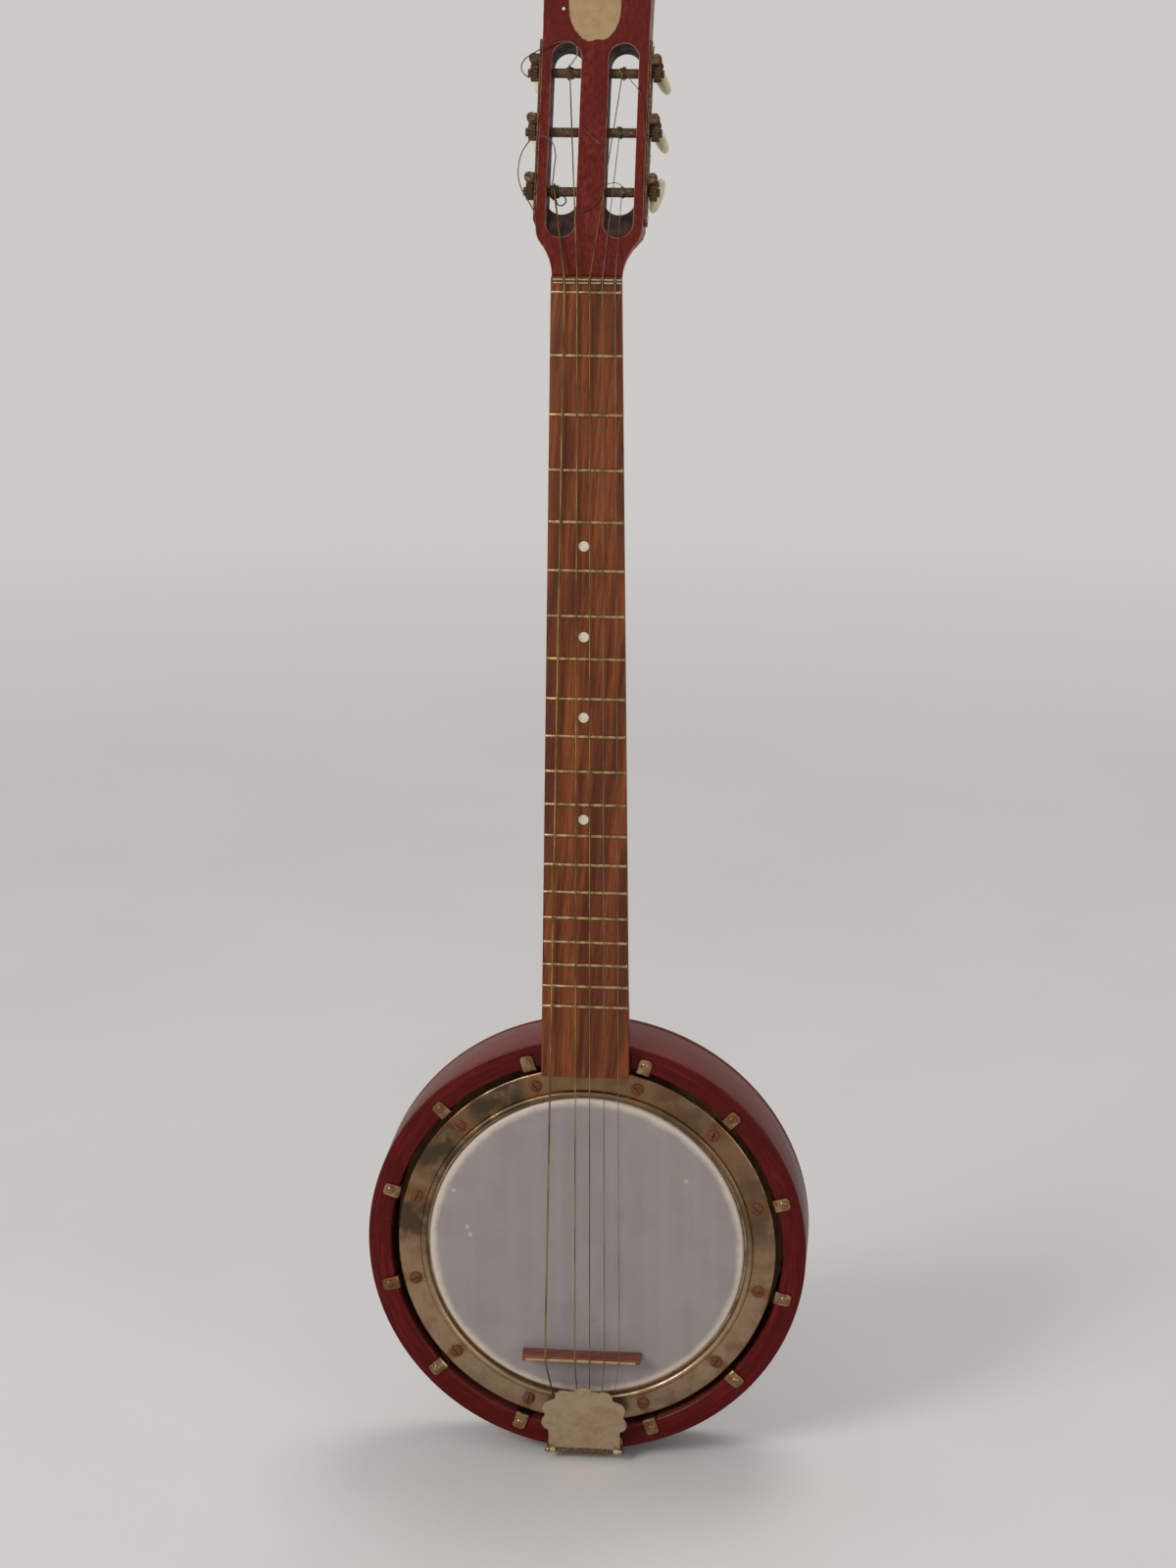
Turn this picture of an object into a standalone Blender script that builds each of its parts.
"""Guitar-banjo: a drum pot, a fretted neck and a slotted headstock with six open-gear tuners.

Units are metres. +Z runs up the neck, -Y is the playing side and +X is to the right as seen from
the playing side. The origin is on the fingerboard's face, in the middle of the zero fret.
"""

import math

import bmesh
import bpy
from mathutils import Matrix, Vector

GAP = 0.0003
MERGE = 0.00001

# Strings and frets
SCALE_LENGTH = 0.650
FRET_COUNT = 19
FRET_WIDTH = 0.0024
FRET_HEIGHT = 0.0010
FRET_TANG = 0.0006
FRET_INSET = 0.0005
STRING_RADII = (0.00055, 0.00040, 0.00032, 0.00025, 0.00022)
STRING_SLOTS = (1, 2, 3, 4, 5)
STRING_NOTCHES = (0, 2, 3, 4, 5)
STRING_TUNERS = ("left_1", "left_3", "right_3", "right_2", "right_1")
STRING_DRUM_X = (-0.0214, -0.0150, 0.0159, 0.0155, 0.0180)
NUT_PITCH = 0.0073
NUT_TREBLE_X = 0.0169
BRIDGE_PITCH = 0.0093
BRIDGE_TREBLE_X = 0.0222
HOOK_PITCH = 0.0052

# Fingerboard and nut
BOARD_THICKNESS = 0.0050
BOARD_NUT_WIDTH = 0.0410
BOARD_END_WIDTH = 0.0538
BOARD_PAST_FRETS = 0.0459
BOARD_HEAD = 0.0085
NUT_START = 0.0052
NUT_DEPTH = 0.0026
NUT_WALL = 0.0007
NUT_BASE = 0.0005
NUT_HEIGHT = 0.0022
NUT_SLOT = 0.0017

# Neck and heel
TONGUE_THICKNESS = 0.0034
TONGUE_SETBACK = 0.0010
NECK_DEPTH = 0.0155
NECK_HEEL_DEPTH = 0.0190
HEEL_DEPTH = 0.0440
HEEL_LENGTH = 0.0450

# Headstock
HEAD_ANGLE = math.radians(22.0)
HEAD_START = 0.0090
HEAD_THICKNESS = 0.0205
HEAD_HALF_WIDTH = 0.0312
HEAD_FLARE = 0.0006
CENTRE_BAR = 0.0160
SIDE_WALL = 0.0058
SLOT_BELOW_TUNERS = 0.0142
SLOT_ABOVE_TUNERS = 0.0157
CREST_ABOVE_SLOTS = 0.0530
RAMP_BELOW_SLOTS = 0.0149
RAMP_LENGTH = 0.0300
RAMP_DEPTH = 0.0008
RAMP_SLOPE = 0.28

# Tuners
TUNER_FIRST = 0.0514
TUNER_PITCH = 0.0354
ROLLER_DEPTH = 0.0078
ROLLER_RADIUS = 0.0028
JOURNAL_RADIUS = 0.0023
SPINDLE_RADIUS = 0.0016
BLIND_HOLE = 0.0034
DRUM_TURNS = 5
END_SCREW_RADIUS = 0.0025
END_SCREW_LENGTH = 0.0014
PLATE_THICKNESS = 0.0012
PLATE_DEPTH = 0.0152
PLATE_OVERHANG = 0.0187
EAR_THICKNESS = 0.0018
EAR_RADIUS = 0.0029
EAR_SPACING = 0.0129
GEAR_TEETH = 14
GEAR_PITCH = 0.0020
GEAR_THICKNESS = 0.0044
TOOTH_ADDENDUM = 0.00055
TOOTH_DEDENDUM = 0.00080
TOOTH_SHARE = 0.40
PRESSURE_ANGLE = math.radians(20.0)
WORM_PITCH_RADIUS = 0.0021
WORM_CORE_RADIUS = 0.0013
WORM_TURNS = 3
WORM_STEPS = 10
WORM_CAP_RADIUS = 0.0028
WORM_CAP_LENGTH = 0.0013
COLLAR_RADIUS = 0.0024
COLLAR_LENGTH = 0.0020
STEM_LENGTH = 0.0125
STEM_IN_BUTTON = 0.0085
BUTTON_HALF_WIDTH = 0.0036
BUTTON_HALF_DEPTH = 0.0065
BUTTON_HALF_LENGTH = 0.0105
BUTTON_TURNS = {"right_1": 16.0, "right_2": -27.0, "right_3": -27.0}

# Pot
POT_STEPS = 72
RING_STEPS = 48
POT_RADIUS = 0.1368
BOARD_OVER_POT = 0.0209
RIM_WALL = 0.0144
RIM_DEPTH = 0.0445
RIM_ROUNDING = 0.0018
BACK_THICKNESS = 0.0040
INNER_RIM_WALL = 0.0060
HEAD_MARGIN = 0.0022
HEAD_SKIN = 0.0006
HEAD_DROP = 0.0008
HEAD_COLLAR = 0.0067
HOOP_WALL = 0.0036
HOOP_HEIGHT = 0.0040
RING_RECESS = 0.0012
RING_THICKNESS = 0.0020
RING_CLEARANCE = 0.0043
RING_WIDTH = 0.0181
BEAD_WIDTH = 0.0042
BEAD_HEIGHT = 0.0024
ANCHOR_WIDTH = 0.0176
ANCHOR_FRONT = 0.0270
ANCHOR_HEIGHT = 0.0100
SCREWS_A_SIDE = 6
FIRST_SCREW = math.radians(16.6)
LAST_SCREW = math.radians(160.8)
SCREW_INSET = 0.0079
SCREW_HEAD_RADIUS = 0.0040
SCREW_HEAD_HEIGHT = 0.0018
SCREW_SHANK_RADIUS = 0.0016
SCREW_GRIP = 0.0060
CLIP_WIDTH = 0.0080
CLIP_THICKNESS = 0.0013
CLIP_LENGTH = 0.0107
CLIP_LEG = 0.0080
CLIP_SCREW_RADIUS = 0.0026
CLIP_SCREW_HEIGHT = 0.0012

# Bridge
BRIDGE_SHARE = 0.521
BRIDGE_BASE_LENGTH = 0.0748
BRIDGE_TOP_LENGTH = 0.0736
BRIDGE_CENTRE_X = -0.0022
BRIDGE_HEIGHT = 0.0115
BRIDGE_FOOT = 0.0042
BRIDGE_CREST = 0.0030
SADDLE_LENGTH = 0.0690
SADDLE_HEIGHT = 0.0010
SADDLE_WIDTH = 0.0016

# Tailpiece
COVER_HEIGHT = 0.0475
COVER_HALF_WIDTH = 0.0275
COVER_WAIST = 0.52
COVER_RISE = 0.0072
COVER_THICKNESS = 0.0010
COVER_LOBES = 7
LOBE_RADIUS = 0.0057
COVER_FOOT_HALF = 0.0225
HINGE_ABOVE_RIM = 0.0080
HINGE_FROM_EDGE = 0.0026
HINGE_RADIUS = 0.0009
BARREL_RADIUS = 0.0020
BARREL_LENGTH = 0.0035
BARREL_X = 0.0202
TAIL_STEPS = 4
TAIL_THICKNESS = 0.0015
TAIL_SKIRT = 0.0320
TAIL_LIP = 0.0090
TAIL_EAR_THICKNESS = 0.0016
HOOK_RADIUS = 0.0008
HOOK_REACH = 0.0053
HOOK_FROM_HINGE = 0.0016
TAIL_SCREW_DEPTH = 0.0220
TAIL_SCREW_RADIUS = 0.0020
TAIL_SCREW_HEAD = 0.0040
TAIL_SCREW_LENGTH = 0.0090

# Heel bolt
BOLT_DEPTH = 0.0240
BOLT_RADIUS = 0.0030
BOLT_HEAD_RADIUS = 0.0060
BOLT_HEAD_HEIGHT = 0.0040
BOLT_IN_HEEL = 0.0130



def fret_z(number):
    """Height of a fret, which the scale length and the twelfth root of two give."""
    return -SCALE_LENGTH * (1.0 - 2.0 ** (-number / 12.0))


# Levels behind the fingerboard's face
NECK_TOP = BOARD_THICKNESS + GAP
TONGUE_BACK = NECK_TOP + TONGUE_THICKNESS
RIM_FRONT = TONGUE_BACK + GAP
RIM_BACK = RIM_FRONT + RIM_DEPTH
RING_FRONT = RIM_FRONT + RING_RECESS
RING_BACK = RING_FRONT + RING_THICKNESS
HEAD_FRONT = RING_FRONT - HEAD_DROP / 2
HOOP_FRONT = RING_BACK + GAP
ANCHOR_LEVEL = RIM_FRONT + ANCHOR_FRONT
BRIDGE_FOOT_LEVEL = HEAD_FRONT - GAP
BRIDGE_TOP_LEVEL = BRIDGE_FOOT_LEVEL - BRIDGE_HEIGHT
SADDLE_TOP_LEVEL = BRIDGE_TOP_LEVEL - GAP - SADDLE_HEIGHT

# Places along the neck and across the pot
BOARD_LENGTH = BOARD_PAST_FRETS - fret_z(FRET_COUNT)
JOINT_Z = BOARD_OVER_POT - BOARD_LENGTH
POT_Z = JOINT_Z - POT_RADIUS
BRIDGE_Z = POT_Z - BRIDGE_SHARE * POT_RADIUS
RIM_INNER_RADIUS = POT_RADIUS - RIM_WALL
RING_OUTER_RADIUS = RIM_INNER_RADIUS - RING_CLEARANCE
RING_INNER_RADIUS = RING_OUTER_RADIUS - RING_WIDTH
SCREW_CIRCLE = RING_OUTER_RADIUS - SCREW_INSET
INNER_RIM_RADIUS = RING_INNER_RADIUS - HEAD_MARGIN
HEAD_SKIN_RADIUS = INNER_RIM_RADIUS + GAP
HOOP_INNER_RADIUS = HEAD_SKIN_RADIUS + HEAD_SKIN + GAP
TAIL_RADIUS = POT_RADIUS + GAP
TAIL_EAR_X = BARREL_X + BARREL_LENGTH / 2 + GAP
TAIL_ANGLE = math.asin((TAIL_EAR_X + TAIL_EAR_THICKNESS + GAP) / TAIL_RADIUS)
HINGE_Y = RIM_FRONT - HINGE_ABOVE_RIM
HINGE_Z = POT_Z - POT_RADIUS + HINGE_FROM_EDGE
HOOK_Z = HINGE_Z + HOOK_FROM_HINGE

# Places on the headstock, up its face and outwards from its middle
SLOT_INNER_X = CENTRE_BAR / 2
SLOT_OUTER_X = HEAD_HALF_WIDTH - SIDE_WALL
SLOT_START = TUNER_FIRST - SLOT_BELOW_TUNERS
SLOT_END = TUNER_FIRST + 2 * TUNER_PITCH + SLOT_ABOVE_TUNERS
RAMP_START = SLOT_START - RAMP_BELOW_SLOTS
HEAD_LENGTH = SLOT_END + CREST_ABOVE_SLOTS
PLATE_X = HEAD_HALF_WIDTH + GAP
PLATE_OUTER_X = PLATE_X + PLATE_THICKNESS
SHOULDER_X = PLATE_OUTER_X + 2 * GAP
GEAR_X = SHOULDER_X + GAP + GEAR_THICKNESS / 2
SPINDLE_X = GEAR_X + GEAR_THICKNESS / 2 + GAP
GEAR_PITCH_RADIUS = GEAR_TEETH * GEAR_PITCH / math.tau
GEAR_TIP_RADIUS = GEAR_PITCH_RADIUS + TOOTH_ADDENDUM
GEAR_ROOT_RADIUS = GEAR_PITCH_RADIUS - TOOTH_DEDENDUM
WORM_TIP_RADIUS = WORM_PITCH_RADIUS + TOOTH_ADDENDUM
GEAR_CENTRES = GEAR_PITCH_RADIUS + WORM_PITCH_RADIUS
FRONT_EAR = ROLLER_DEPTH - EAR_SPACING / 2 - EAR_THICKNESS / 2
BACK_EAR = ROLLER_DEPTH + EAR_SPACING / 2 - EAR_THICKNESS / 2
COLLAR_START = BACK_EAR + EAR_THICKNESS + GAP
BUTTON_START = COLLAR_START + COLLAR_LENGTH + STEM_LENGTH
STEM_END = BUTTON_START + STEM_IN_BUTTON

STAND = Matrix.Rotation(math.radians(90.0), 4, "X")
ALONG_X = Matrix.Rotation(math.radians(90.0), 4, "Y")
ALONG_MINUS_X = Matrix.Rotation(math.radians(-90.0), 4, "Y")
ALONG_Y = Matrix.Rotation(math.radians(-90.0), 4, "X")
POT = Matrix.Translation((0.0, 0.0, POT_Z)) @ STAND
HEAD = Matrix.Translation((0.0, NECK_TOP, HEAD_START)) @ Matrix.Rotation(-HEAD_ANGLE, 4, "X")

CHERRY = ("cherry_stained_wood", (0.16, 0.022, 0.016), 0.35, 0.0)
ROSEWOOD = ("rosewood", (0.11, 0.045, 0.022), 0.55, 0.0)
BRIDGE_WOOD = ("bridge_maple", (0.20, 0.060, 0.035), 0.5, 0.0)
BARE_WOOD = ("bare_beech", (0.45, 0.30, 0.17), 0.6, 0.0)
OLD_NICKEL = ("tarnished_nickel", (0.36, 0.31, 0.20), 0.4, 1.0)
RUSTY_STEEL = ("rusted_steel", (0.14, 0.065, 0.035), 0.6, 0.8)
HEAD_PLASTIC = ("head_plastic", (0.55, 0.54, 0.52), 0.6, 0.0)
IVORY = ("ivory_plastic", (0.68, 0.62, 0.42), 0.35, 0.0)
BONE = ("bone", (0.70, 0.60, 0.42), 0.5, 0.0)
WOUND_STRING = ("wound_brass", (0.45, 0.32, 0.13), 0.4, 1.0)
PLAIN_STRING = ("plain_steel", (0.40, 0.38, 0.34), 0.35, 1.0)

for old in list(bpy.data.objects):
    bpy.data.objects.remove(old, do_unlink=True)

parts = bpy.data.collections.new("guitar_banjo")
cutters = bpy.data.collections.new("cutters")
bpy.context.scene.collection.children.link(parts)
bpy.context.scene.collection.children.link(cutters)
finishes = {}


def finish(look):
    """The Principled material of a look, made once."""
    name, colour, roughness, metallic = look
    if name not in finishes:
        material = bpy.data.materials.new(name)
        material.use_nodes = True
        shader = material.node_tree.nodes["Principled BSDF"]
        shader.inputs["Base Color"].default_value = (*colour, 1.0)
        shader.inputs["Roughness"].default_value = roughness
        shader.inputs["Metallic"].default_value = metallic
        finishes[name] = material
    return finishes[name]


def evaluated_mesh(obj):
    """The object's mesh with its modifiers, or its curve as a welded mesh, in its own coordinates."""
    depsgraph = bpy.context.evaluated_depsgraph_get()
    mesh = bpy.data.meshes.new_from_object(obj.evaluated_get(depsgraph))
    data = obj.data
    bpy.data.objects.remove(obj, do_unlink=True)
    if isinstance(data, bpy.types.Curve):
        bpy.data.curves.remove(data)
    bm = bmesh.new()
    bm.from_mesh(mesh)
    bmesh.ops.remove_doubles(bm, verts=bm.verts, dist=MERGE)
    bm.to_mesh(mesh)
    bm.free()
    return mesh


def turned(profile, steps, closed=False):
    """A turned shape about Z. The profile of (radius, height) runs down its outer side."""
    count = len(profile)
    edges = [(i, i + 1) for i in range(count - 1)]
    if closed:
        edges.append((count - 1, 0))
    mesh = bpy.data.meshes.new("profile")
    mesh.from_pydata([(radius, 0.0, height) for radius, height in profile], edges, [])
    obj = bpy.data.objects.new("profile", mesh)
    parts.objects.link(obj)
    screw = obj.modifiers.new("Screw", "SCREW")
    screw.steps = steps
    screw.render_steps = steps
    screw.use_merge_vertices = True
    screw.merge_threshold = MERGE
    return evaluated_mesh(obj)


def rod(radius, bottom, top, steps=16):
    """A round bar about Z."""
    return turned([(0.0, top), (radius, top), (radius, bottom), (0.0, bottom)], steps)


def flat(outline, thickness):
    """A flat outline in XY, made solid from Z = 0 up to its thickness."""
    curve = bpy.data.curves.new("outline", "CURVE")
    curve.dimensions = "2D"
    curve.fill_mode = "BOTH"
    curve.extrude = thickness / 2
    spline = curve.splines.new("POLY")
    spline.points.add(len(outline) - 1)
    for point, (x, y) in zip(spline.points, outline):
        point.co = (x, y, 0.0, 1.0)
    spline.use_cyclic_u = True
    obj = bpy.data.objects.new("outline", curve)
    parts.objects.link(obj)
    mesh = evaluated_mesh(obj)
    mesh.transform(Matrix.Translation((0.0, 0.0, thickness / 2)))
    return mesh


def block(low, high):
    """A box between two corners."""
    bm = bmesh.new()
    size = Vector(high) - Vector(low)
    middle = (Vector(high) + Vector(low)) / 2
    bmesh.ops.create_cube(bm, size=1.0, matrix=Matrix.Translation(middle) @ Matrix.Diagonal((*size, 1.0)))
    mesh = bpy.data.meshes.new("block")
    bm.to_mesh(mesh)
    bm.free()
    return mesh


def copies(mesh, places):
    """One mesh that holds a copy of another at each place."""
    bm = bmesh.new()
    for place in places:
        start = len(bm.verts)
        bm.from_mesh(mesh)
        bm.verts.ensure_lookup_table()
        bmesh.ops.transform(bm, matrix=place, verts=bm.verts[start:])
    whole = bpy.data.meshes.new(mesh.name)
    bm.to_mesh(whole)
    bm.free()
    return whole


def together(meshes):
    """One mesh that holds several, which don't touch."""
    bm = bmesh.new()
    for mesh in meshes:
        bm.from_mesh(mesh)
    whole = bpy.data.meshes.new("together")
    bm.to_mesh(whole)
    bm.free()
    return whole


def piece(name, mesh, look, place=Matrix.Identity(4)):
    """A named piece of the object."""
    mesh.name = name
    if not mesh.materials:
        mesh.materials.append(finish(look))
    obj = bpy.data.objects.new(name, mesh)
    parts.objects.link(obj)
    obj.matrix_world = place
    for polygon in mesh.polygons:
        polygon.use_smooth = True
    mesh.set_sharp_from_angle(angle=math.radians(35.0))
    return obj


def boolean(obj, operation, name, mesh, place=Matrix.Identity(4)):
    """Cuts a hidden solid out of a piece, or joins it on."""
    tool = bpy.data.objects.new(f"{obj.name}.{name}", mesh)
    cutters.objects.link(tool)
    tool.matrix_world = place
    tool.hide_render = True
    tool.display_type = "WIRE"
    modifier = obj.modifiers.new(name, "BOOLEAN")
    modifier.operation = operation
    modifier.solver = "EXACT"
    modifier.object = tool


def cut(obj, name, mesh, place=Matrix.Identity(4)):
    boolean(obj, "DIFFERENCE", name, mesh, place)


def join(obj, name, mesh, place=Matrix.Identity(4)):
    boolean(obj, "UNION", name, mesh, place)


def board_half_width(z):
    """Half of the fingerboard's width, which grows evenly towards the pot."""
    return (BOARD_NUT_WIDTH + (BOARD_END_WIDTH - BOARD_NUT_WIDTH) * -z / BOARD_LENGTH) / 2


def smooth_step(t):
    t = min(max(t, 0.0), 1.0)
    return t * t * (3.0 - 2.0 * t)


def arc(centre, radius, start, end, steps):
    """Points of an arc in XY, with its angles in degrees."""
    angles = [math.radians(start + (end - start) * i / steps) for i in range(steps + 1)]
    return [(centre[0] + radius * math.cos(a), centre[1] + radius * math.sin(a)) for a in angles]


def loft(sections):
    """A solid through rings of points that all have the same number of points."""
    bm = bmesh.new()
    rings = [[bm.verts.new(point) for point in section] for section in sections]
    count = len(rings[0])
    for lower, upper in zip(rings, rings[1:]):
        for i in range(count):
            j = (i + 1) % count
            bm.faces.new((lower[i], lower[j], upper[j], upper[i]))
    bm.faces.new(rings[0])
    bm.faces.new(rings[-1])
    bmesh.ops.recalc_face_normals(bm, faces=bm.faces)
    mesh = bpy.data.meshes.new("loft")
    bm.to_mesh(mesh)
    bm.free()
    return mesh


def neck_section(z, depth):
    """A D-shaped ring: flat under the fingerboard, round behind."""
    half = board_half_width(z)
    steps = 12
    angles = [math.pi * i / steps for i in range(steps + 1)]
    return [(half * math.cos(a), NECK_TOP + depth * math.sin(a) ** 0.8, z) for a in angles]


def neck_shaft():
    heel_start = JOINT_Z + HEEL_LENGTH
    sections = []
    for t in (0.0, 0.25, 0.5, 0.75, 1.0):
        z = HEAD_START + (heel_start - HEAD_START) * t
        sections.append(neck_section(z, NECK_DEPTH + (NECK_HEEL_DEPTH - NECK_DEPTH) * t))
    for t in (0.25, 0.45, 0.62, 0.8, 1.0):
        z = heel_start + (JOINT_Z - heel_start) * t
        sections.append(neck_section(z, NECK_HEEL_DEPTH + (HEEL_DEPTH - NECK_HEEL_DEPTH) * smooth_step(t)))
    sections.append(neck_section(-BOARD_LENGTH + TONGUE_SETBACK, HEEL_DEPTH))
    return loft(sections)


def headstock_outline():
    """Half the outline from the nut to the crest, then its mirror image."""
    half = HEAD_HALF_WIDTH
    top = half + HEAD_FLARE
    root = BOARD_NUT_WIDTH / 2
    right = [(root, 0.0), (root + 0.0009, 0.003), (root + 0.0033, 0.007), (root + 0.0063, 0.012)]
    right += [(half - 0.0019, 0.018), (half - 0.0006, 0.025), (half, 0.032), (half, SLOT_END + 0.008)]
    right += [(top, HEAD_LENGTH - 0.009), (top - 0.0016, HEAD_LENGTH - 0.0045)]
    right += [(top - 0.0080, HEAD_LENGTH - 0.0020), (top * 0.45, HEAD_LENGTH - 0.0005)]
    left = [(-x, y) for x, y in reversed(right)]
    return right + left


def slot_outline(side, start, end):
    """A string slot with round ends, on the left or right of the headstock."""
    radius = (SLOT_OUTER_X - SLOT_INNER_X) / 2
    middle = side * (SLOT_OUTER_X + SLOT_INNER_X) / 2
    bottom = arc((middle, start + radius), radius, 180, 360, 10)
    top = arc((middle, end - radius), radius, 0, 180, 10)
    return bottom + top


def ramp(side):
    """The scoop below a slot: its floor sinks towards the slot."""
    reach = RAMP_START + RAMP_LENGTH
    mesh = flat(slot_outline(side, RAMP_START, reach), 0.001)
    for vertex in mesh.vertices:
        if vertex.co.z < 0.0005:
            vertex.co.z = -RAMP_DEPTH - RAMP_SLOPE * (vertex.co.y - RAMP_START)
    return mesh


def make_neck():
    neck = piece("neck", neck_shaft(), CHERRY)
    head = flat(headstock_outline(), HEAD_THICKNESS)
    on_back = HEAD @ Matrix.Translation((0.0, HEAD_THICKNESS, 0.0)) @ STAND
    join(neck, "headstock", head, on_back)
    sides = (-1, 1)
    slots = [flat(slot_outline(side, SLOT_START, SLOT_END), 2 * HEAD_THICKNESS) for side in sides]
    cut(neck, "slots", together(slots), HEAD @ Matrix.Translation((0.0, 1.5 * HEAD_THICKNESS, 0.0)) @ STAND)
    cut(neck, "ramps", together([ramp(side) for side in sides]), HEAD @ STAND)
    hole = rod(JOURNAL_RADIUS + GAP, SLOT_INNER_X - BLIND_HOLE, HEAD_HALF_WIDTH + HEAD_FLARE + 0.002, 12)
    cut(neck, "roller_holes", copies(hole, [tuner_place(name) for name in TUNERS]))
    pot = rod(POT_RADIUS + GAP, -2 * HEEL_DEPTH, -TONGUE_BACK, POT_STEPS)
    cut(neck, "pot_seat", pot, POT)
    bolt_hole = rod(BOLT_RADIUS + GAP, -RIM_WALL, BOLT_IN_HEEL + GAP, 12)
    cut(neck, "bolt_hole", bolt_hole, bolt_place())


def make_fingerboard():
    board = block((-0.5, 0.0, -BOARD_LENGTH), (0.5, BOARD_THICKNESS, BOARD_HEAD))
    for vertex in board.vertices:
        vertex.co.x *= 2 * board_half_width(vertex.co.z)
    fingerboard = piece("fingerboard", board, ROSEWOOD)
    bars = []
    crown = arc((0.0, 0.0), 1.0, 180, 0, 4)
    for number in range(FRET_COUNT + 1):
        half = board_half_width(fret_z(number)) - FRET_INSET
        section = [(x * FRET_WIDTH / 2, y * FRET_HEIGHT) for x, y in crown]
        section += [(FRET_WIDTH / 2, -FRET_TANG), (-FRET_WIDTH / 2, -FRET_TANG)]
        bar = flat(section, 2 * half)
        turn = Matrix(((0, 0, 1, -half), (0, -1, 0, 0), (1, 0, 0, fret_z(number)), (0, 0, 0, 1)))
        bar.transform(turn)
        bars.append(bar)
    join(fingerboard, "frets", together(bars))


def nut_x(slot):
    return NUT_TREBLE_X - (5 - slot) * NUT_PITCH


def bridge_x(notch):
    return BRIDGE_TREBLE_X - (5 - notch) * BRIDGE_PITCH


def hook_x(hook):
    return (hook - 2.5) * HOOK_PITCH


def make_nut():
    """A bent strip: a base on the fingerboard and two rails with a slot for each string."""
    half = BOARD_NUT_WIDTH / 2
    base = -GAP
    low = (-half, base - NUT_HEIGHT, NUT_START)
    nut = piece("nut", block(low, (half, base, NUT_START + NUT_DEPTH)), OLD_NICKEL)
    trough = block(
        (-half - GAP, base - 2 * NUT_HEIGHT, NUT_START + NUT_WALL),
        (half + GAP, base - NUT_BASE, NUT_START + NUT_DEPTH - NUT_WALL),
    )
    cut(nut, "trough", trough)
    slot = block(
        (-NUT_SLOT / 2, base - 2 * NUT_HEIGHT, NUT_START - NUT_DEPTH),
        (NUT_SLOT / 2, base - NUT_BASE - GAP, NUT_START + 2 * NUT_DEPTH),
    )
    cut(nut, "slots", copies(slot, [Matrix.Translation((nut_x(i), 0.0, 0.0)) for i in range(6)]))


TUNERS = [f"{side}_{number}" for side in ("left", "right") for number in (1, 2, 3)]


def tuner_height(name):
    return TUNER_FIRST + (int(name[-1]) - 1) * TUNER_PITCH


def tuner_side(name):
    return -1 if name.startswith("left") else 1


def tuner_place(name):
    """On the roller's axis in the middle of the headstock, with Z outwards along the axis."""
    outwards = ALONG_X if tuner_side(name) > 0 else ALONG_MINUS_X
    return HEAD @ Matrix.Translation((0.0, ROLLER_DEPTH, tuner_height(name))) @ outwards


def worm_place(name):
    """On the worm's axis at the headstock's face, with Z along the axis to the button."""
    across = tuner_side(name) * GEAR_X
    return HEAD @ Matrix.Translation((across, 0.0, tuner_height(name) + GEAR_CENTRES)) @ ALONG_Y


def gear_mesh():
    """A gear wheel whose teeth lean to follow the worm's thread. Its axis is X, with a gap on top."""
    tooth = math.tau / GEAR_TEETH
    half_pitch = TOOTH_SHARE * GEAR_PITCH / 2
    half_tip = (half_pitch - TOOTH_ADDENDUM * math.tan(PRESSURE_ANGLE)) / GEAR_TIP_RADIUS
    half_root = (half_pitch + TOOTH_DEDENDUM * math.tan(PRESSURE_ANGLE)) / GEAR_ROOT_RADIUS
    outline = []
    for k in range(GEAR_TEETH):
        middle = math.pi / 2 + (k + 0.5) * tooth
        for radius, offset in (
            (GEAR_ROOT_RADIUS, -half_root),
            (GEAR_TIP_RADIUS, -half_tip),
            (GEAR_TIP_RADIUS, half_tip),
            (GEAR_ROOT_RADIUS, half_root),
        ):
            angle = middle + offset
            outline.append((radius * math.cos(angle), radius * math.sin(angle)))
    mesh = flat(outline, GEAR_THICKNESS)
    lead = GEAR_PITCH / (math.tau * WORM_PITCH_RADIUS)
    for vertex in mesh.vertices:
        x = vertex.co.z - GEAR_THICKNESS / 2
        turn = Matrix.Rotation(x * lead / GEAR_PITCH_RADIUS, 3, "X")
        vertex.co = turn @ Vector((x, vertex.co.x, vertex.co.y))
    return mesh


def thread_mesh():
    """The worm's thread: a wedge swept along a right-hand helix, with a crest facing the wheel."""
    half_pitch = TOOTH_SHARE * GEAR_PITCH / 2
    buried = WORM_CORE_RADIUS * 0.8
    slope = math.tan(PRESSURE_ANGLE)
    half_tip = half_pitch - TOOTH_ADDENDUM * slope
    half_foot = half_pitch + (WORM_PITCH_RADIUS - buried) * slope
    section = ((buried, -half_foot), (WORM_TIP_RADIUS, -half_tip), (WORM_TIP_RADIUS, half_tip), (buried, half_foot))
    steps = WORM_TURNS * WORM_STEPS
    start = ROLLER_DEPTH - WORM_TURNS * GEAR_PITCH / 2
    facing_wheel = math.pi / 2 + math.pi * WORM_TURNS
    rings = []
    for i in range(steps + 1):
        angle = facing_wheel + math.tau * i / WORM_STEPS
        rise = start + GEAR_PITCH * i / WORM_STEPS
        rings.append([(r * math.cos(angle), r * math.sin(angle), rise + h) for r, h in section])
    return loft(rings)


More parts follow.
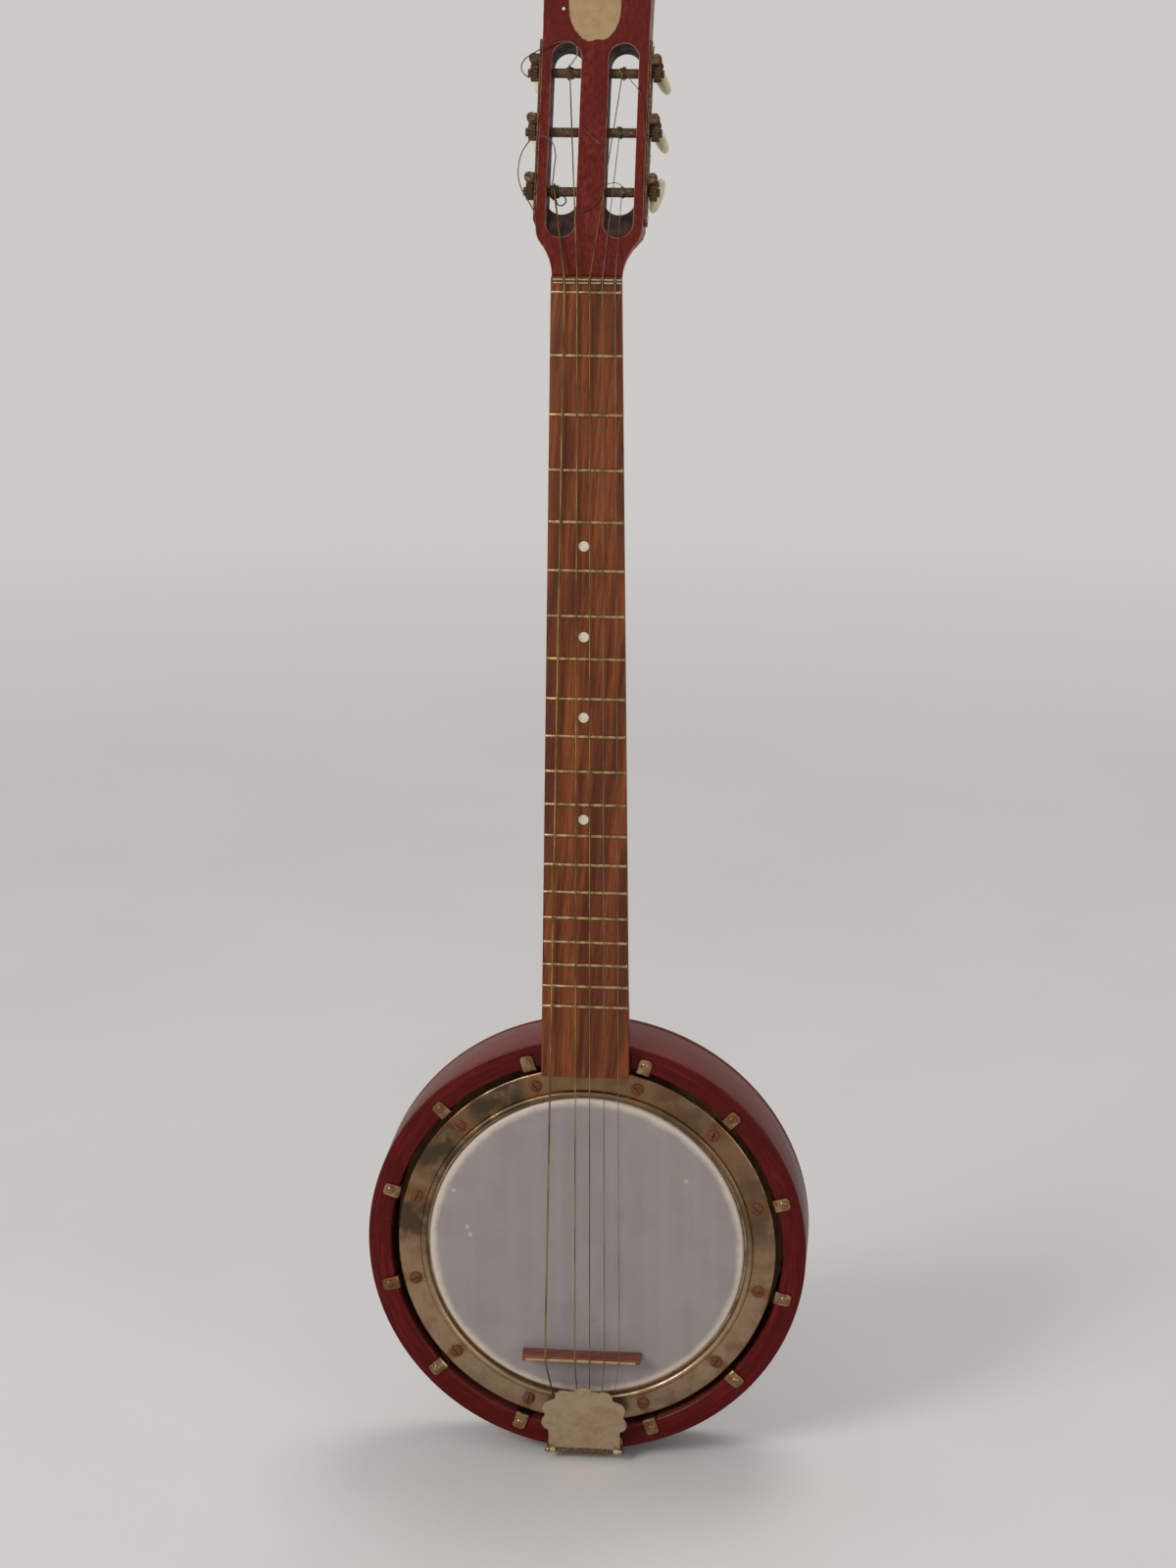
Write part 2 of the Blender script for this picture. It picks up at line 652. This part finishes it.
def worm_mesh():
    """Front cap, thin shaft, collar behind the back ear, and stem into the button."""
    cap_back = FRONT_EAR - GAP
    collar_end = COLLAR_START + COLLAR_LENGTH
    profile = [
        (0.0, STEM_END),
        (WORM_CORE_RADIUS, STEM_END),
        (WORM_CORE_RADIUS, collar_end),
        (COLLAR_RADIUS, collar_end),
        (COLLAR_RADIUS, COLLAR_START),
        (WORM_CORE_RADIUS, COLLAR_START),
        (WORM_CORE_RADIUS, cap_back),
        (WORM_CAP_RADIUS, cap_back),
        (WORM_CAP_RADIUS, cap_back - WORM_CAP_LENGTH),
        (0.0, cap_back - WORM_CAP_LENGTH),
    ]
    return turned(profile, WORM_STEPS)


def drum_radius(string_radius):
    """Outside of one layer of string on a roller."""
    return ROLLER_RADIUS + 2 * string_radius


def roller_mesh(drum):
    """A roller about Z, outwards from the centre bar. The drum is the string wound on it, if any."""
    inner = SLOT_INNER_X - BLIND_HOLE + GAP
    profile = [
        (0.0, SPINDLE_X + END_SCREW_LENGTH),
        (END_SCREW_RADIUS, SPINDLE_X + END_SCREW_LENGTH),
        (END_SCREW_RADIUS, SPINDLE_X),
        (SPINDLE_RADIUS, SPINDLE_X),
        (SPINDLE_RADIUS, SHOULDER_X),
        (JOURNAL_RADIUS, SHOULDER_X),
        (JOURNAL_RADIUS, SLOT_OUTER_X - GAP),
        (ROLLER_RADIUS, SLOT_OUTER_X - GAP),
    ]
    if drum:
        x, string_radius = drum
        wound = drum_radius(string_radius)
        half = DRUM_TURNS * string_radius
        profile += [(ROLLER_RADIUS, x + half), (wound, x + half), (wound, x - half), (ROLLER_RADIUS, x - half)]
    profile += [
        (ROLLER_RADIUS, SLOT_INNER_X + GAP),
        (JOURNAL_RADIUS, SLOT_INNER_X + GAP),
        (JOURNAL_RADIUS, inner),
        (0.0, inner),
    ]
    return turned(profile, 10)


def button_mesh():
    """An oval button about Z, bored for the worm's stem."""
    bm = bmesh.new()
    size = Matrix.Diagonal((BUTTON_HALF_WIDTH, BUTTON_HALF_LENGTH, BUTTON_HALF_DEPTH, 1.0))
    place = Matrix.Translation((0.0, 0.0, BUTTON_START + BUTTON_HALF_DEPTH))
    bmesh.ops.create_uvsphere(bm, u_segments=12, v_segments=8, radius=1.0, matrix=place @ size)
    mesh = bpy.data.meshes.new("button")
    bm.to_mesh(mesh)
    bm.free()
    return mesh


def make_tuners():
    strung = {name: (abs(x), r) for name, x, r in zip(STRING_TUNERS, STRING_DRUM_X, STRING_RADII)}
    gear = gear_mesh()
    gear_bore = rod(SPINDLE_RADIUS + GAP, -GEAR_THICKNESS, GEAR_THICKNESS, 12)
    worm = worm_mesh()
    thread = thread_mesh()
    button = button_mesh()
    button_bore = rod(WORM_CORE_RADIUS + GAP, BUTTON_START - BUTTON_HALF_DEPTH, STEM_END + GAP, 12)
    for name in TUNERS:
        side = tuner_side(name)
        piece(f"roller_{name}", roller_mesh(strung.get(name)), RUSTY_STEEL, tuner_place(name))
        wheel_place = HEAD @ Matrix.Translation((side * GEAR_X, ROLLER_DEPTH, tuner_height(name)))
        wheel = piece(f"gear_{name}", gear, RUSTY_STEEL, wheel_place)
        cut(wheel, "bore", gear_bore, wheel_place @ ALONG_X)
        shaft = piece(f"worm_{name}", worm, RUSTY_STEEL, worm_place(name))
        join(shaft, "thread", thread, worm_place(name))
        turned_knob = worm_place(name) @ Matrix.Rotation(math.radians(BUTTON_TURNS.get(name, 0.0)), 4, "Z")
        knob = piece(f"button_{name}", button, IVORY, turned_knob)
        cut(knob, "bore", button_bore, turned_knob)


def ear_outline():
    """A bearing ear, seen along the worm: straight from the plate, round about the worm."""
    root = PLATE_OUTER_X - PLATE_THICKNESS / 3
    return [(root, -EAR_RADIUS), *arc((GEAR_X, 0.0), EAR_RADIUS, -90, 90, 6), (root, EAR_RADIUS)]


def make_tuner_plates():
    low = TUNER_FIRST - PLATE_OVERHANG
    high = TUNER_FIRST + 2 * TUNER_PITCH + PLATE_OVERHANG
    front = FRONT_EAR
    for side, word in ((-1, "left"), (1, "right")):
        names = [name for name in TUNERS if name.startswith(word)]
        xs = sorted((side * PLATE_X, side * PLATE_OUTER_X))
        strip = block((xs[0], front, low), (xs[1], front + PLATE_DEPTH, high))
        plate = piece(f"tuner_plate_{word}", strip, OLD_NICKEL, HEAD)
        outline = [(side * x, y) for x, y in ear_outline()]
        if side < 0:
            outline.reverse()
        ear = flat(outline, EAR_THICKNESS)
        places = []
        for name in names:
            for depth in (FRONT_EAR, BACK_EAR):
                height = tuner_height(name) + GEAR_CENTRES
                places.append(Matrix.Translation((0.0, depth + EAR_THICKNESS, height)) @ STAND)
        join(plate, "ears", copies(ear, places), HEAD)
        worm_hole = rod(WORM_CORE_RADIUS + GAP, -PLATE_DEPTH, 2 * PLATE_DEPTH, 12)
        cut(plate, "worm_holes", copies(worm_hole, [worm_place(name) for name in names]))
        roller_hole = rod(JOURNAL_RADIUS + GAP, HEAD_HALF_WIDTH, GEAR_X, 12)
        cut(plate, "roller_holes", copies(roller_hole, [tuner_place(name) for name in names]))


def ring_section(inner, outer, front, back):
    """A plain square ring's section, for a place in the pot's frame, whose Z points forwards."""
    return [(inner, -front), (outer, -front), (outer, -back), (inner, -back)]


def screw_places(circle):
    """Places round the pot, clockwise from the neck, with wider gaps at the neck and the tailpiece."""
    step = (LAST_SCREW - FIRST_SCREW) / (SCREWS_A_SIDE - 1)
    right = [FIRST_SCREW + step * i for i in range(SCREWS_A_SIDE)]
    clockwise = right + [math.tau - angle for angle in reversed(right)]
    outwards = Matrix.Translation((circle, 0.0, 0.0))
    return [Matrix.Rotation(math.pi / 2 - angle, 4, "Z") @ outwards for angle in clockwise]


def tension_screw_mesh():
    """A round-head screw about Z with its head on the tension ring."""
    head = -RING_FRONT + SCREW_HEAD_HEIGHT
    seat = -RING_FRONT - RING_THICKNESS / 2
    profile = [
        (0.0, head),
        (SCREW_HEAD_RADIUS * 0.65, head),
        (SCREW_HEAD_RADIUS, seat),
        (SCREW_SHANK_RADIUS, seat),
        (SCREW_SHANK_RADIUS, -ANCHOR_LEVEL - SCREW_GRIP),
        (0.0, -ANCHOR_LEVEL - SCREW_GRIP),
    ]
    return turned(profile, 8)


def make_pot():
    soft = RIM_ROUNDING
    rim = [
        (RIM_INNER_RADIUS, -RIM_BACK),
        (RIM_INNER_RADIUS, -RIM_FRONT - soft),
        (RIM_INNER_RADIUS + soft, -RIM_FRONT),
        (POT_RADIUS - soft, -RIM_FRONT),
        (POT_RADIUS, -RIM_FRONT - soft),
        (POT_RADIUS, -RIM_BACK),
    ]
    outer_rim = piece("outer_rim", turned(rim, POT_STEPS, closed=True), CHERRY, POT)
    bolt_hole = rod(BOLT_RADIUS + GAP, -3 * RIM_WALL, RIM_WALL, 12)
    cut(outer_rim, "bolt_hole", bolt_hole, bolt_place())
    screw_hole = rod(TAIL_SCREW_RADIUS + GAP, -TAIL_SCREW_LENGTH - GAP, TAIL_THICKNESS, 12)
    cut(outer_rim, "tail_screw_hole", screw_hole, tail_screw_place())

    back = rod(POT_RADIUS, -RIM_BACK - GAP - BACK_THICKNESS, -RIM_BACK - GAP, POT_STEPS)
    piece("back_plate", back, CHERRY, POT)

    top = HEAD_FRONT + HEAD_SKIN + GAP
    inner = INNER_RIM_RADIUS - INNER_RIM_WALL
    corner = INNER_RIM_WALL / 4
    inner_rim = [
        (inner, -top),
        (INNER_RIM_RADIUS - corner, -top),
        (INNER_RIM_RADIUS, -top - corner),
        (INNER_RIM_RADIUS, -RIM_BACK),
        (inner, -RIM_BACK),
    ]
    piece("inner_rim", turned(inner_rim, RING_STEPS, closed=True), BARE_WOOD, POT)

    skin_out = HEAD_SKIN_RADIUS + HEAD_SKIN
    collar = HEAD_FRONT + HEAD_COLLAR
    head = [
        (0.0, -HEAD_FRONT),
        (INNER_RIM_RADIUS - corner, -HEAD_FRONT),
        (skin_out, -HEAD_FRONT - corner - HEAD_SKIN / 2),
        (skin_out, -collar),
        (HEAD_SKIN_RADIUS, -collar),
        (HEAD_SKIN_RADIUS, -HEAD_FRONT - corner - HEAD_SKIN),
        (INNER_RIM_RADIUS - corner, -HEAD_FRONT - HEAD_SKIN),
        (0.0, -HEAD_FRONT - HEAD_SKIN),
    ]
    piece("drum_head", turned(head, RING_STEPS), HEAD_PLASTIC, POT)

    hoop = ring_section(HOOP_INNER_RADIUS, HOOP_INNER_RADIUS + HOOP_WALL, HOOP_FRONT, HOOP_FRONT + HOOP_HEIGHT)
    piece("flesh_hoop", turned(hoop, RING_STEPS, closed=True), OLD_NICKEL, POT)

    ring = [
        (RING_INNER_RADIUS, -RING_FRONT),
        (RING_INNER_RADIUS + BEAD_WIDTH * 0.3, -RING_FRONT + BEAD_HEIGHT),
        (RING_INNER_RADIUS + BEAD_WIDTH * 0.7, -RING_FRONT + BEAD_HEIGHT),
        (RING_INNER_RADIUS + BEAD_WIDTH, -RING_FRONT),
        (RING_OUTER_RADIUS, -RING_FRONT),
        (RING_OUTER_RADIUS, -RING_BACK),
        (RING_INNER_RADIUS, -RING_BACK),
    ]
    tension_ring = piece("tension_ring", turned(ring, RING_STEPS, closed=True), OLD_NICKEL, POT)
    join(tension_ring, "screws", copies(tension_screw_mesh(), screw_places(SCREW_CIRCLE)), POT)

    outer = RIM_INNER_RADIUS - GAP
    anchor = ring_section(outer - ANCHOR_WIDTH, outer, ANCHOR_LEVEL, ANCHOR_LEVEL + ANCHOR_HEIGHT)
    anchor_ring = piece("anchor_ring", turned(anchor, POT_STEPS // 2, closed=True), BARE_WOOD, POT)
    hole = rod(SCREW_SHANK_RADIUS + GAP, -ANCHOR_LEVEL - SCREW_GRIP - GAP, -ANCHOR_LEVEL + GAP, 8)
    cut(anchor_ring, "screw_holes", copies(hole, screw_places(SCREW_CIRCLE)), POT)


def make_clips():
    """Bent straps screwed to the rim's front, each with a leg down the gap beside the tension ring."""
    inner = RIM_INNER_RADIUS - 2 * GAP - CLIP_THICKNESS
    seat = -RIM_FRONT + GAP
    front = seat + CLIP_THICKNESS
    outline = [
        (inner, front),
        (inner, seat - CLIP_LEG),
        (inner + CLIP_THICKNESS, seat - CLIP_LEG),
        (inner + CLIP_THICKNESS, seat),
        (inner + CLIP_LENGTH, seat),
        (inner + CLIP_LENGTH, front),
    ]
    strap = flat(outline, CLIP_WIDTH)
    strap.transform(Matrix.Translation((0.0, CLIP_WIDTH / 2, 0.0)) @ STAND)
    head = [
        (0.0, front + CLIP_SCREW_HEIGHT),
        (CLIP_SCREW_RADIUS * 0.7, front + CLIP_SCREW_HEIGHT),
        (CLIP_SCREW_RADIUS, front - CLIP_THICKNESS / 2),
        (0.0, front - CLIP_THICKNESS / 2),
    ]
    screw = turned(head, 8)
    across = Matrix.Translation((inner + CLIP_LENGTH * 0.58, 0.0, 0.0))
    for number, place in enumerate(screw_places(0.0), start=1):
        clip = piece(f"rim_clip_{number:02d}", strap, OLD_NICKEL, POT @ place)
        join(clip, "screw", screw, POT @ place @ across)


def make_bridge():
    """A low wooden bar with slanted ends and a tapered section, and the bone strip on its crest."""
    wide = BRIDGE_BASE_LENGTH / 2
    narrow = BRIDGE_TOP_LENGTH / 2
    bar = block((-1.0, 0.0, -1.0), (1.0, 1.0, 1.0))
    for vertex in bar.vertices:
        at_top = vertex.co.y < 0.5
        half_length, half_width = (narrow, BRIDGE_CREST / 2) if at_top else (wide, BRIDGE_FOOT / 2)
        y = BRIDGE_TOP_LEVEL if at_top else BRIDGE_FOOT_LEVEL
        vertex.co = (BRIDGE_CENTRE_X + vertex.co.x * half_length, y, vertex.co.z * half_width + BRIDGE_Z)
    piece("bridge", bar, BRIDGE_WOOD)
    strip = block(
        (BRIDGE_CENTRE_X - SADDLE_LENGTH / 2, SADDLE_TOP_LEVEL, BRIDGE_Z - SADDLE_WIDTH / 2),
        (BRIDGE_CENTRE_X + SADDLE_LENGTH / 2, BRIDGE_TOP_LEVEL - GAP, BRIDGE_Z + SADDLE_WIDTH / 2),
    )
    piece("bridge_saddle", strip, BONE)


def cover_outline():
    """The scalloped cover, drawn upright from the hinge line at Y = 0."""
    foot = BARREL_RADIUS + GAP
    centre = COVER_HEIGHT * COVER_WAIST
    height = COVER_HEIGHT - centre - LOBE_RADIUS
    width = COVER_HALF_WIDTH - LOBE_RADIUS
    first = -14.0
    spread = (180.0 - 2 * first) / (COVER_LOBES - 1)
    points = [(-COVER_FOOT_HALF, foot), (COVER_FOOT_HALF, foot)]
    for k in range(COVER_LOBES):
        angle = math.radians(first + spread * k)
        middle = (width * math.cos(angle), centre + height * math.sin(angle))
        facing = math.degrees(angle)
        points += arc(middle, LOBE_RADIUS, facing - 62.0, facing + 62.0, 4)
    return points


def hinge_place():
    """At the cover's hinge, with Y up the cover and Z out of its front."""
    lean = math.atan2(COVER_RISE, COVER_HEIGHT)
    return Matrix.Translation((0.0, HINGE_Y, HINGE_Z)) @ Matrix.Rotation(lean, 4, "X") @ STAND


def tail_screw_place():
    """On the rim's outside below the tailpiece, with Z down and away from the rim."""
    down = Matrix.Rotation(math.radians(180.0), 4, "X")
    return Matrix.Translation((0.0, RIM_FRONT + TAIL_SCREW_DEPTH, POT_Z - POT_RADIUS)) @ down


def bolt_place():
    """At the rim's outside under the heel, with Z up into the heel."""
    return Matrix.Translation((0.0, RIM_FRONT + BOLT_DEPTH - TONGUE_BACK, JOINT_Z))


def make_tailpiece():
    plate = flat(cover_outline(), COVER_THICKNESS)
    plate.transform(Matrix.Translation((0.0, 0.0, -COVER_THICKNESS / 2)))
    cover = piece("tailpiece_cover", plate, OLD_NICKEL, hinge_place())
    barrel = rod(BARREL_RADIUS, -BARREL_LENGTH / 2, BARREL_LENGTH / 2, 12)
    across = [Matrix.Translation((side * BARREL_X, 0.0, 0.0)) @ ALONG_X for side in (-1, 1)]
    tongue = block((-BARREL_LENGTH / 2, 0.0, -COVER_THICKNESS / 2), (BARREL_LENGTH / 2, 2 * BARREL_RADIUS, COVER_THICKNESS / 2))
    join(cover, "barrels", copies(barrel, across), hinge_place())
    tongues = [Matrix.Translation((side * BARREL_X, 0.0, 0.0)) for side in (-1, 1)]
    join(cover, "tongues", copies(tongue, tongues), hinge_place())
    bore = rod(HINGE_RADIUS + GAP, -COVER_FOOT_HALF - BARREL_LENGTH, COVER_FOOT_HALF + BARREL_LENGTH, 12)
    cut(cover, "bore", bore, hinge_place() @ ALONG_X)

    front = RIM_FRONT - GAP - TAIL_THICKNESS
    back = front + TAIL_SKIRT
    outer = TAIL_RADIUS + TAIL_THICKNESS
    section = [
        (outer, -front),
        (outer, -back),
        (TAIL_RADIUS, -back),
        (TAIL_RADIUS, -front - TAIL_THICKNESS),
        (outer - TAIL_LIP, -front - TAIL_THICKNESS),
        (outer - TAIL_LIP, -front),
    ]
    rings = []
    for i in range(TAIL_STEPS + 1):
        angle = -math.pi / 2 - TAIL_ANGLE + 2 * TAIL_ANGLE * i / TAIL_STEPS
        rings.append([(r * math.cos(angle), r * math.sin(angle), h) for r, h in section])
    base = piece("tailpiece_base", loft(rings), OLD_NICKEL, POT)

    ear_foot = front + TAIL_THICKNESS / 2
    ear = [(-BARREL_RADIUS, -ear_foot), (BARREL_RADIUS, -ear_foot), *arc((0.0, -HINGE_Y), BARREL_RADIUS, 0, 180, 6)]
    ear_mesh = flat(ear, TAIL_EAR_THICKNESS)
    upright = Matrix(((0, 0, 1, 0), (0, -1, 0, 0), (1, 0, 0, HINGE_Z), (0, 0, 0, 1)))
    ear_mesh.transform(upright)
    left = Matrix.Translation((-TAIL_EAR_X - TAIL_EAR_THICKNESS, 0.0, 0.0))
    right = Matrix.Translation((TAIL_EAR_X, 0.0, 0.0))
    join(base, "ears", copies(ear_mesh, [left, right]))
    hook = rod(HOOK_RADIUS, -ear_foot, -ear_foot + HOOK_REACH, 8)
    places = [Matrix.Translation((hook_x(i), 0.0, HOOK_Z)) @ STAND for i in range(6)]
    join(base, "hooks", copies(hook, places))
    pin_hole = rod(HINGE_RADIUS + GAP, -TAIL_EAR_X - 2 * TAIL_EAR_THICKNESS, TAIL_EAR_X + 2 * TAIL_EAR_THICKNESS, 12)
    cut(base, "pin_holes", pin_hole, Matrix.Translation((0.0, HINGE_Y, HINGE_Z)) @ ALONG_X)
    screw_hole = rod(TAIL_SCREW_RADIUS + GAP, -RIM_WALL / 2, RIM_WALL / 2, 12)
    cut(base, "screw_hole", screw_hole, tail_screw_place())

    half_pin = TAIL_EAR_X + TAIL_EAR_THICKNESS + GAP
    pin = [
        (0.0, half_pin + HINGE_RADIUS),
        (1.5 * HINGE_RADIUS, half_pin + HINGE_RADIUS),
        (1.5 * HINGE_RADIUS, half_pin),
        (HINGE_RADIUS, half_pin),
        (HINGE_RADIUS, -half_pin),
        (1.5 * HINGE_RADIUS, -half_pin),
        (1.5 * HINGE_RADIUS, -half_pin - HINGE_RADIUS),
        (0.0, -half_pin - HINGE_RADIUS),
    ]
    piece("tailpiece_pin", turned(pin, 10), RUSTY_STEEL, Matrix.Translation((0.0, HINGE_Y, HINGE_Z)) @ ALONG_X)

    head = TAIL_THICKNESS + 2 * GAP
    screw = [
        (0.0, head + TAIL_SCREW_RADIUS),
        (TAIL_SCREW_HEAD * 0.6, head + TAIL_SCREW_RADIUS),
        (TAIL_SCREW_HEAD, head),
        (TAIL_SCREW_RADIUS, head),
        (TAIL_SCREW_RADIUS, -TAIL_SCREW_LENGTH),
        (0.0, -TAIL_SCREW_LENGTH),
    ]
    piece("tailpiece_screw", turned(screw, 12), RUSTY_STEEL, tail_screw_place())


def make_heel_bolt():
    """The bolt through the rim's wall into the heel, with its head inside the pot."""
    inside = RIM_INNER_RADIUS * math.cos(math.pi / POT_STEPS) - POT_RADIUS - GAP
    seat = inside - BOLT_HEAD_RADIUS**2 / (2 * RIM_INNER_RADIUS)
    profile = [
        (0.0, BOLT_IN_HEEL),
        (BOLT_RADIUS, BOLT_IN_HEEL),
        (BOLT_RADIUS, seat),
        (BOLT_HEAD_RADIUS, seat),
        (BOLT_HEAD_RADIUS, seat - BOLT_HEAD_HEIGHT),
        (0.0, seat - BOLT_HEAD_HEIGHT),
    ]
    piece("heel_bolt", turned(profile, 12), RUSTY_STEEL, bolt_place())


def tangent(start, centre, radius):
    """Where a line from start, in the (Y, Z) plane, touches a circle on its playing side."""
    to_centre = Vector(centre) - Vector(start)
    reach = math.sqrt(to_centre.length_squared - radius**2)
    turn = math.asin(radius / to_centre.length)
    heading = math.atan2(to_centre.y, to_centre.x) + turn
    return start[0] + reach * math.cos(heading), start[1] + reach * math.sin(heading)


def make_strings():
    """Each string from its hook over the bridge and the zero fret, through the nut to its roller."""
    for number, radius in enumerate(STRING_RADII):
        slot = STRING_SLOTS[number]
        notch = STRING_NOTCHES[number]
        lift = radius + GAP
        hook_end = HOOK_Z + HOOK_RADIUS + GAP
        hook_y = RIM_FRONT - TAIL_THICKNESS - HOOK_REACH / 2
        nut_y = -FRET_HEIGHT - lift
        leave = NUT_START + NUT_DEPTH + GAP
        place = tuner_place(STRING_TUNERS[number])
        centre = place.translation
        end_y, end_z = tangent((nut_y, leave), (centre.y, centre.z), drum_radius(radius) + lift)
        points = [
            (hook_x(notch), hook_y, hook_end),
            (bridge_x(notch), SADDLE_TOP_LEVEL - lift, BRIDGE_Z),
            (nut_x(slot), nut_y, 0.0),
            (nut_x(slot), nut_y, leave),
            (STRING_DRUM_X[number], end_y, end_z),
        ]
        curve = bpy.data.curves.new(f"string_{number + 1}", "CURVE")
        curve.dimensions = "3D"
        curve.bevel_depth = radius
        curve.bevel_resolution = 2
        curve.use_fill_caps = True
        spline = curve.splines.new("POLY")
        spline.points.add(len(points) - 1)
        for point, place in zip(spline.points, points):
            point.co = (*place, 1.0)
        curve.materials.append(finish(WOUND_STRING if number < 3 else PLAIN_STRING))
        parts.objects.link(bpy.data.objects.new(f"string_{number + 1}", curve))


make_neck()
make_fingerboard()
make_nut()
make_tuner_plates()
make_tuners()
make_pot()
make_clips()
make_bridge()
make_tailpiece()
make_heel_bolt()
make_strings()
